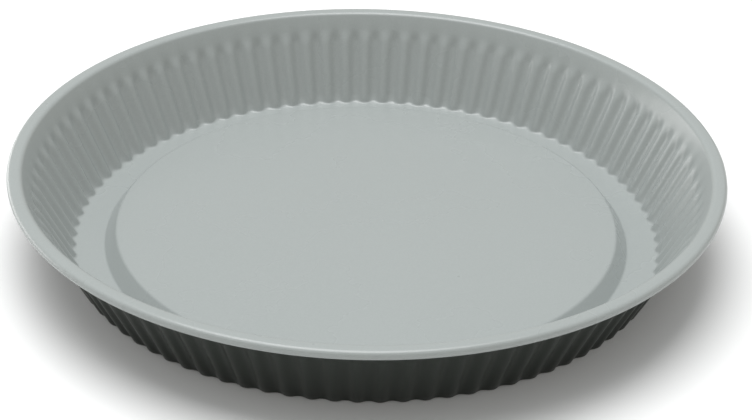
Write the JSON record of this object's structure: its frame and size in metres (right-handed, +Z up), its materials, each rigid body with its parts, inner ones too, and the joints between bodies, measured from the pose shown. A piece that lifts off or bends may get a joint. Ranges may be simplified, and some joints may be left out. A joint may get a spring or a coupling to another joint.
{
  "type": "fluted flan tin",
  "caption": "Round fluted baking tin with a raised centre, sloping wall, flat flange and an edge curled over a wire.",
  "frame": {"origin": "centre of the plane that the tin stands on, the underside of the ring around the raised centre", "axes": "+Z up along the tin's axis, towards the open mouth; +X starts the first flute"},
  "size_m": [0.28, 0.28, 0.037],
  "materials": {
    "pan_coating": "light grey non-stick coat inside and on the rim, dark grey outside, satin",
    "wire_steel": "drawn wire"
  },
  "bodies": {
    "root": {"pan_shell": "pan_coating", "rim_wire": "wire_steel"}
  },
  "joints": []
}
